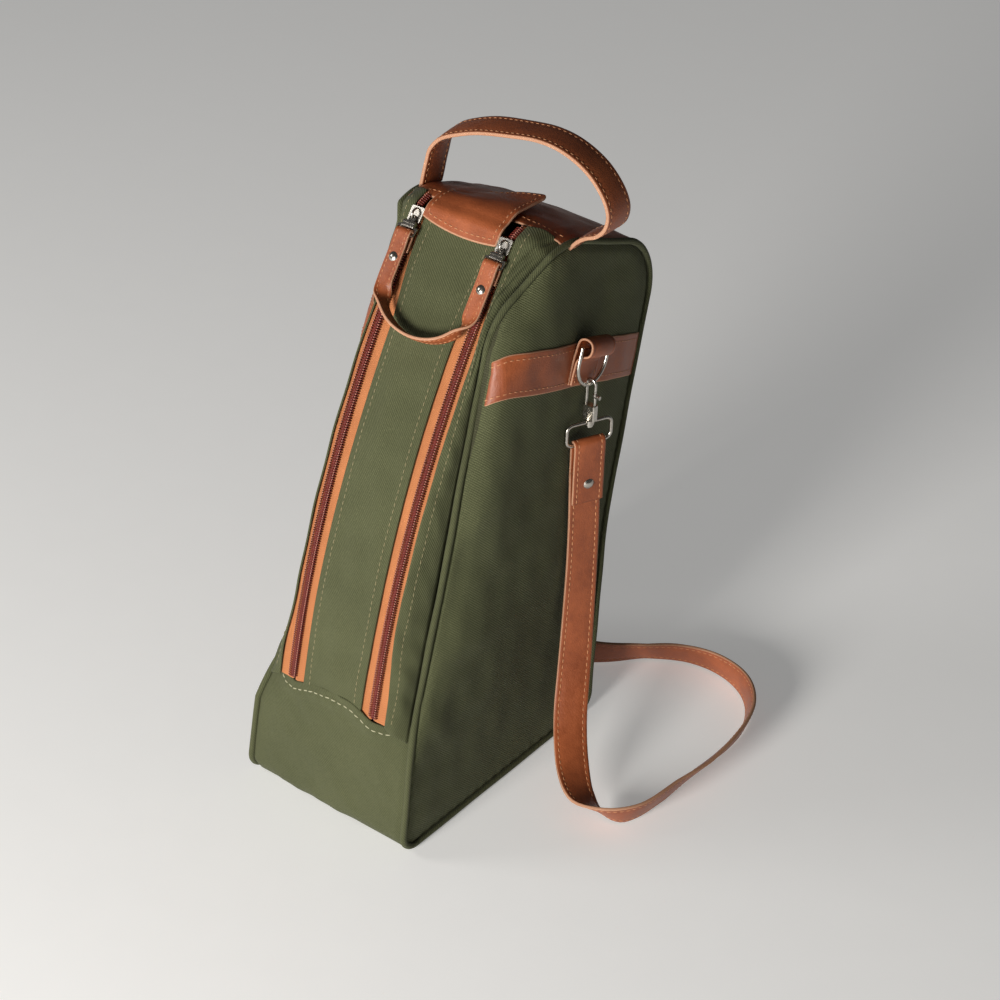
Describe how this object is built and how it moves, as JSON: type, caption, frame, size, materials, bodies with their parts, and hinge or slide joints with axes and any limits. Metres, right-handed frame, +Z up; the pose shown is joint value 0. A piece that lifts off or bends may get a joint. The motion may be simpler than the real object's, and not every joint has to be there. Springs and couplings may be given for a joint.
{
  "type": "golf shoe bag",
  "caption": "Tall wedge-shaped fabric shoe bag with leather trim, a front flap held by parallel zips, a top grab handle and a long clip-on carrying strap.",
  "frame": {"origin": "middle of the base, on the surface that the bag stands on", "axes": "+Z up, the zipped front faces -Y, +X is the side whose strap trails out over the floor"},
  "size_m": [0.3194, 0.3286, 0.4962],
  "materials": {
    "olive_cloth": "dull olive green woven cloth",
    "tan_leather": "smooth tan leather with pale cut edges",
    "zip_tape": "orange tan woven tape",
    "zip_coil": "dark red brown moulded coil",
    "nickel": "bright nickel plate",
    "board": "dark stiff board"
  },
  "bodies": {
    "shell": {"base_panel": "olive_cloth", "base_board": "board", "lower_front_panel": "olive_cloth", "back_panel": "olive_cloth", "top_yoke": "tan_leather", "side_panel_left": "olive_cloth", "side_panel_right": "olive_cloth", "piping_left": "olive_cloth", "piping_right": "olive_cloth", "front_strip_left": "olive_cloth", "front_strip_right": "olive_cloth", "zip_tape_outer_left": "zip_tape", "zip_tape_outer_right": "zip_tape", "zip_coil_outer_left": "zip_coil", "zip_coil_outer_right": "zip_coil", "side_band_left": "tan_leather", "side_band_right": "tan_leather", "ring_loop_left": "tan_leather", "ring_loop_right": "tan_leather", "handle_end_left": "tan_leather", "handle_end_right": "tan_leather", "shoulder_strap": "tan_leather"},
    "front_flap": {"front_panel": "olive_cloth", "tab_base": "tan_leather", "zip_tape_inner_left": "zip_tape", "zip_tape_inner_right": "zip_tape", "zip_coil_inner_left": "zip_coil", "zip_coil_inner_right": "zip_coil"},
    "tab": {"tab_flap": "tan_leather"},
    "sliders": {"slider_left": "nickel", "slider_right": "nickel"},
    "pull_links": {"pull_link_left": "nickel", "pull_link_right": "nickel"},
    "pull": {"pull_strap": "tan_leather", "pull_rivets": "nickel"},
    "handle": {"handle": "tan_leather"},
    "ring_right": {"d_ring_right": "nickel"},
    "hook_right": {"snap_hook_right": "nickel"},
    "bolt_right": {"hook_bolt_right": "nickel"},
    "swivel_right": {"swivel_loop_right": "nickel", "strap_end_right": "tan_leather", "strap_rivet_right": "nickel"},
    "ring_left": {"d_ring_left": "nickel"},
    "hook_left": {"snap_hook_left": "nickel"},
    "bolt_left": {"hook_bolt_left": "nickel"},
    "swivel_left": {"swivel_loop_left": "nickel", "strap_end_left": "tan_leather", "strap_rivet_left": "nickel"}
  },
  "joints": [
    {"name": "panel_open", "type": "hinge", "parent": "shell", "child": "front_flap", "pos_m": [0, -0.1035, 0.1032], "axis": [1, 0, 0], "range_deg": [0, 100]},
    {"name": "tab_lift", "type": "hinge", "parent": "front_flap", "child": "tab", "pos_m": [0, 0.0462, 0.42756], "axis": [1, 0, 0], "range_deg": [0, 100]},
    {"name": "zip_run", "type": "hinge", "parent": "shell", "child": "sliders", "pos_m": [0, 0.66706, -0.05094], "axis": [1, 0, 0], "range_deg": [0, 23.8]},
    {"name": "link_swing", "type": "hinge", "parent": "sliders", "child": "pull_links", "pos_m": [0, 0.03513, 0.41901], "axis": [1, 0, 0], "range_deg": [-81, 0]},
    {"name": "pull_lift", "type": "hinge", "parent": "pull_links", "child": "pull", "pos_m": [0, 0.02312, 0.40844], "axis": [1, 0, 0], "range_deg": [-40, 0]},
    {"name": "handle_swing", "type": "hinge", "parent": "shell", "child": "handle", "pos_m": [-0.057, 0.0785, 0.437], "axis": [0.9975, 0, -0.0704], "range_deg": [-60, 60], "stiffness_Nm_per_rad": 0.06, "deforming": ["handle_end_left", "handle_end_right"]},
    {"name": "ring_swing_right", "type": "hinge", "parent": "shell", "child": "ring_right", "pos_m": [0.0843, 0.08303, 0.33903], "axis": [0, -0.9563, 0.2924], "range_deg": [0, 110], "deforming": ["shoulder_strap"]},
    {"name": "hook_swing_right", "type": "hinge", "parent": "ring_right", "child": "hook_right", "pos_m": [0.0843, 0.07975, 0.31152], "axis": [0, -1, 0], "range_deg": [0, 40], "deforming": ["shoulder_strap"]},
    {"name": "bolt_slide_right", "type": "slide", "parent": "hook_right", "child": "bolt_right", "axis": [0, 0, -1], "range_m": [0, 0.0042], "stiffness_N_per_m": 300},
    {"name": "swivel_turn_right", "type": "hinge", "parent": "hook_right", "child": "swivel_right", "pos_m": [0.0843, 0.07975, 0.28152], "axis": [0, 0, 1], "range_deg": [0, 44], "deforming": ["shoulder_strap"]},
    {"name": "ring_swing_left", "type": "hinge", "parent": "shell", "child": "ring_left", "pos_m": [-0.0843, 0.08303, 0.33903], "axis": [0, 0.9563, -0.2924], "range_deg": [0, 110], "deforming": ["shoulder_strap"]},
    {"name": "hook_swing_left", "type": "hinge", "parent": "ring_left", "child": "hook_left", "pos_m": [-0.0843, 0.07975, 0.31152], "axis": [0, 1, 0], "range_deg": [0, 40], "deforming": ["shoulder_strap"]},
    {"name": "bolt_slide_left", "type": "slide", "parent": "hook_left", "child": "bolt_left", "axis": [0, 0, -1], "range_m": [0, 0.0042], "stiffness_N_per_m": 300},
    {"name": "swivel_turn_left", "type": "hinge", "parent": "hook_left", "child": "swivel_left", "pos_m": [-0.0843, 0.07975, 0.28152], "axis": [0, 0, 1], "range_deg": [-22, 22], "deforming": ["shoulder_strap"]}
  ],
  "couplings": [
    {"joint": "zip_run", "follows": "panel_open", "ratio": 0.2365},
    {"joint": "link_swing", "follows": "panel_open", "ratio": -0.8}
  ]
}
